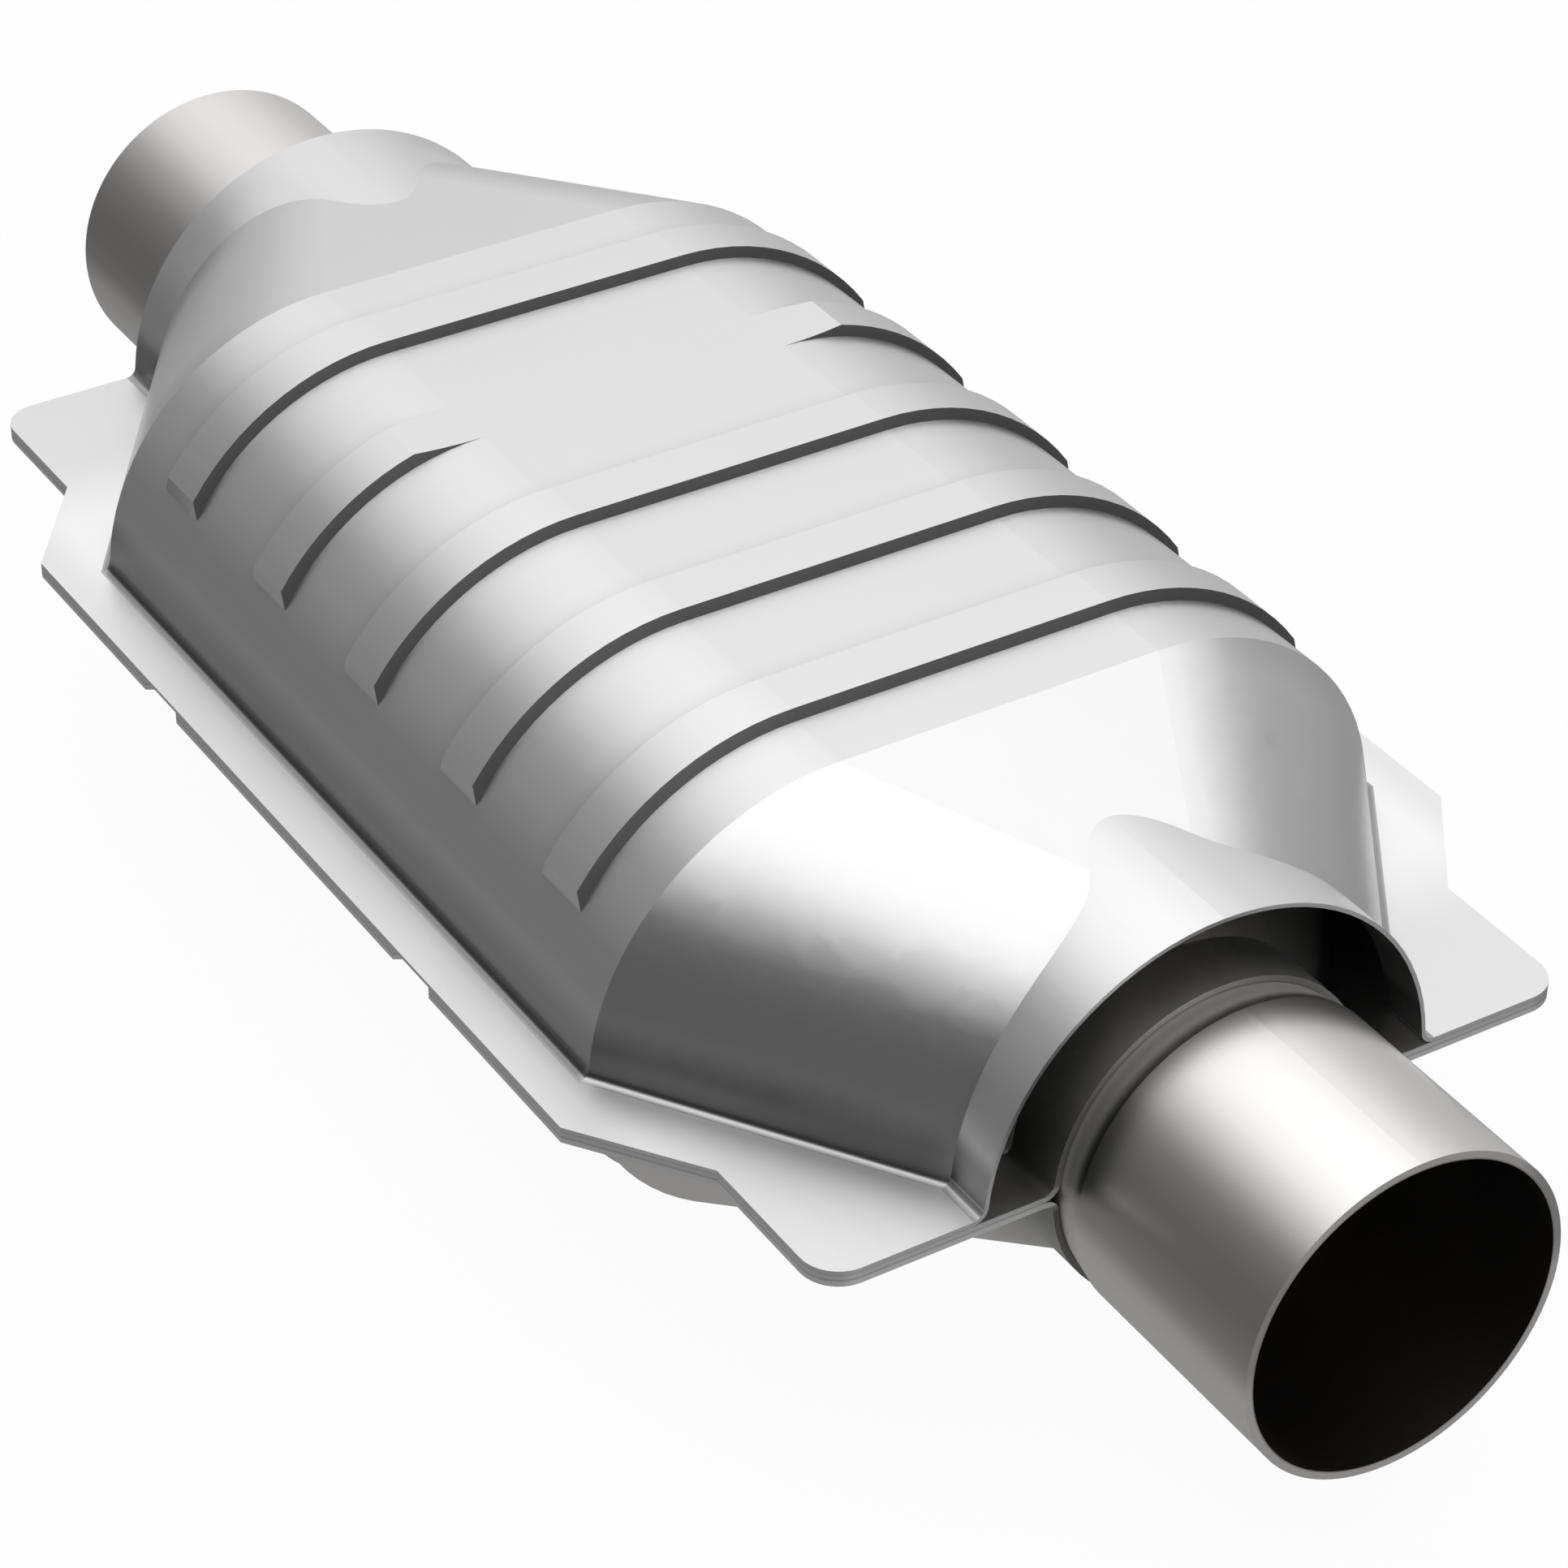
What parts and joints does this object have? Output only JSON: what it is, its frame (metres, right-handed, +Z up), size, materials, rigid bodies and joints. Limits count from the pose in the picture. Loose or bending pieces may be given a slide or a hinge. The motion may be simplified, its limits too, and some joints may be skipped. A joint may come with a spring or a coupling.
{
  "type": "catalytic converter",
  "caption": "Oval clamshell catalytic converter with a ribbed heat shield on top, a welded flange all round and a pipe stub at each end.",
  "frame": {"origin": "on the ground below the middle of the body, half way between the two pipe ends", "axes": "+X along the gas line from the inlet to the outlet, +Y across the body, +Z up, the heat shield on top"},
  "size_m": [0.4064, 0.1776, 0.0955],
  "materials": {
    "shell_steel": "mill finish pressed stainless sheet",
    "shield_steel": "bright matt pressed stainless sheet",
    "pipe_steel": "satin drawn stainless tube",
    "honeycomb": "matt coated honeycomb",
    "mat_fibre": "matt pressed mineral fibre",
    "seal_wire": "knitted wire, dull"
  },
  "bodies": {
    "root": {"upper_shell": "shell_steel", "lower_shell": "shell_steel", "heat_shield": "shield_steel", "outlet_pipe": "pipe_steel", "inlet_pipe": "pipe_steel", "outlet_substrate": "honeycomb", "inlet_substrate": "honeycomb", "outlet_mat": "mat_fibre", "inlet_mat": "mat_fibre", "outlet_middle_seal": "seal_wire", "outlet_end_seal": "seal_wire", "inlet_middle_seal": "seal_wire", "inlet_end_seal": "seal_wire"}
  },
  "joints": []
}
